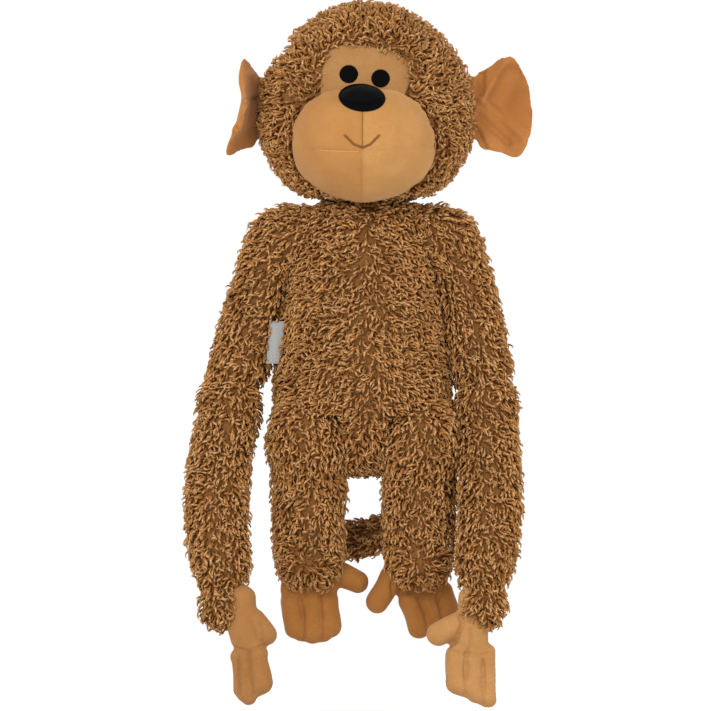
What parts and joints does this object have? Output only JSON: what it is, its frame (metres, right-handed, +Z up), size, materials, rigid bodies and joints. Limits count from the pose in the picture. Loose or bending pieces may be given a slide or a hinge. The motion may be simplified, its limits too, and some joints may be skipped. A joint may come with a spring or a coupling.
{
  "type": "stuffed monkey",
  "caption": "Soft toy monkey with a curly pile body, smooth face, cupped ears, long hanging arms, short legs, padded hands and feet, and a tail.",
  "frame": {"origin": "centre of the flat resting face on the back of the torso", "axes": "+Z up to the top of the head, -Y the way the face looks, +X the monkey's own left"},
  "size_m": [0.2772, 0.1866, 0.5608],
  "materials": {
    "pile": "matte",
    "velour": "matte",
    "velour_deep": "matte",
    "embroidery": "matte",
    "thread": "matte",
    "label": "matte",
    "stuffing": "matte"
  },
  "bodies": {
    "torso": {"torso_cover": "pile", "torso_stuffing": "stuffing", "side_label": "label", "back_closing_stitch": "thread"},
    "neck": {"neck_seam": "thread"},
    "head": {"head_cover": "pile", "head_stuffing": "stuffing", "brow_panel": "velour", "muzzle_cover": "velour", "muzzle_stuffing": "stuffing", "nose": "embroidery", "left_eye": "embroidery", "right_eye": "embroidery", "mouth_stitch": "thread"},
    "left_ear": {"left_ear_front": "velour_deep", "left_ear_back": "velour"},
    "right_ear": {"right_ear_front": "velour_deep", "right_ear_back": "velour"},
    "tail": {"tail_cover": "pile", "tail_stuffing": "stuffing"},
    "left_shoulder": {"left_shoulder_seam": "thread"},
    "left_upper_arm": {"left_upper_arm_cover": "pile", "left_upper_arm_stuffing": "stuffing"},
    "left_forearm": {"left_forearm_cover": "velour", "left_forearm_stuffing": "stuffing"},
    "left_hand": {"left_hand_palm": "velour", "left_hand_back": "velour", "left_hand_stuffing": "stuffing"},
    "left_leg": {"left_leg_cover": "pile", "left_leg_stuffing": "stuffing", "left_hip_seam": "thread"},
    "left_foot": {"left_foot_top": "velour_deep", "left_foot_sole": "velour_deep", "left_foot_stuffing": "stuffing"},
    "right_shoulder": {"right_shoulder_seam": "thread"},
    "right_upper_arm": {"right_upper_arm_cover": "pile", "right_upper_arm_stuffing": "stuffing"},
    "right_forearm": {"right_forearm_cover": "velour", "right_forearm_stuffing": "stuffing"},
    "right_hand": {"right_hand_palm": "velour", "right_hand_back": "velour", "right_hand_stuffing": "stuffing"},
    "right_leg": {"right_leg_cover": "pile", "right_leg_stuffing": "stuffing", "right_hip_seam": "thread"},
    "right_foot": {"right_foot_top": "velour_deep", "right_foot_sole": "velour_deep", "right_foot_stuffing": "stuffing"}
  },
  "joints": [
    {"name": "neck_turn", "type": "hinge", "parent": "torso", "child": "neck", "pos_m": [0.002, -0.062, 0.088], "axis": [0, 0, 1], "range_deg": [-60, 60], "stiffness_Nm_per_rad": 0.9},
    {"name": "neck_nod", "type": "hinge", "parent": "neck", "child": "head", "pos_m": [0.002, -0.062, 0.088], "axis": [-1, 0, 0], "range_deg": [-12, 15], "stiffness_Nm_per_rad": 1.2},
    {"name": "left_ear_fold", "type": "hinge", "parent": "head", "child": "left_ear", "pos_m": [0.0915, -0.066, 0.19], "axis": [0, 0, 1], "range_deg": [-25, 25], "stiffness_Nm_per_rad": 0.02},
    {"name": "right_ear_fold", "type": "hinge", "parent": "head", "child": "right_ear", "pos_m": [-0.0845, -0.066, 0.19], "axis": [0, 0, -1], "range_deg": [-25, 25], "stiffness_Nm_per_rad": 0.02},
    {"name": "left_arm_swing", "type": "hinge", "parent": "torso", "child": "left_shoulder", "pos_m": [0.072, -0.06, 0.087], "axis": [-1, 0, 0], "range_deg": [0, 120], "stiffness_Nm_per_rad": 0.6},
    {"name": "left_arm_raise", "type": "hinge", "parent": "left_shoulder", "child": "left_upper_arm", "pos_m": [0.072, -0.06, 0.087], "axis": [0, -1, 0], "range_deg": [0, 80], "stiffness_Nm_per_rad": 0.6},
    {"name": "left_elbow_bend", "type": "hinge", "parent": "left_upper_arm", "child": "left_forearm", "pos_m": [0.0995, -0.069, -0.052], "axis": [-1, 0, 0], "range_deg": [0, 85], "stiffness_Nm_per_rad": 0.25},
    {"name": "left_wrist_bend", "type": "hinge", "parent": "left_forearm", "child": "left_hand", "pos_m": [0.0905, -0.112, -0.213], "axis": [-1, 0, 0], "range_deg": [-35, 35], "stiffness_Nm_per_rad": 0.06},
    {"name": "left_hip_swing", "type": "hinge", "parent": "torso", "child": "left_leg", "pos_m": [0.046, -0.07, -0.084], "axis": [-1, 0, 0], "range_deg": [-5, 90], "stiffness_Nm_per_rad": 0.5},
    {"name": "left_ankle_bend", "type": "hinge", "parent": "left_leg", "child": "left_foot", "pos_m": [0.046, -0.072, -0.172], "axis": [-1, 0, 0], "range_deg": [-20, 20], "stiffness_Nm_per_rad": 0.06},
    {"name": "right_arm_swing", "type": "hinge", "parent": "torso", "child": "right_shoulder", "pos_m": [-0.069, -0.06, 0.087], "axis": [-1, 0, 0], "range_deg": [-40, 120], "stiffness_Nm_per_rad": 0.6, "deforming": ["side_label"]},
    {"name": "right_arm_raise", "type": "hinge", "parent": "right_shoulder", "child": "right_upper_arm", "pos_m": [-0.069, -0.06, 0.087], "axis": [0, 1, 0], "range_deg": [0, 80], "stiffness_Nm_per_rad": 0.6},
    {"name": "right_elbow_bend", "type": "hinge", "parent": "right_upper_arm", "child": "right_forearm", "pos_m": [-0.106, -0.069, -0.052], "axis": [-1, 0, 0], "range_deg": [0, 85], "stiffness_Nm_per_rad": 0.25},
    {"name": "right_wrist_bend", "type": "hinge", "parent": "right_forearm", "child": "right_hand", "pos_m": [-0.1045, -0.112, -0.213], "axis": [-1, 0, 0], "range_deg": [-35, 35], "stiffness_Nm_per_rad": 0.06},
    {"name": "right_hip_swing", "type": "hinge", "parent": "torso", "child": "right_leg", "pos_m": [-0.0425, -0.07, -0.084], "axis": [-1, 0, 0], "range_deg": [-5, 90], "stiffness_Nm_per_rad": 0.5},
    {"name": "right_ankle_bend", "type": "hinge", "parent": "right_leg", "child": "right_foot", "pos_m": [-0.0425, -0.072, -0.172], "axis": [-1, 0, 0], "range_deg": [-20, 20], "stiffness_Nm_per_rad": 0.06},
    {"name": "tail_lift", "type": "hinge", "parent": "torso", "child": "tail", "pos_m": [0.027, -0.009, -0.087], "axis": [1, 0, 0], "range_deg": [0, 70], "stiffness_Nm_per_rad": 0.15}
  ]
}
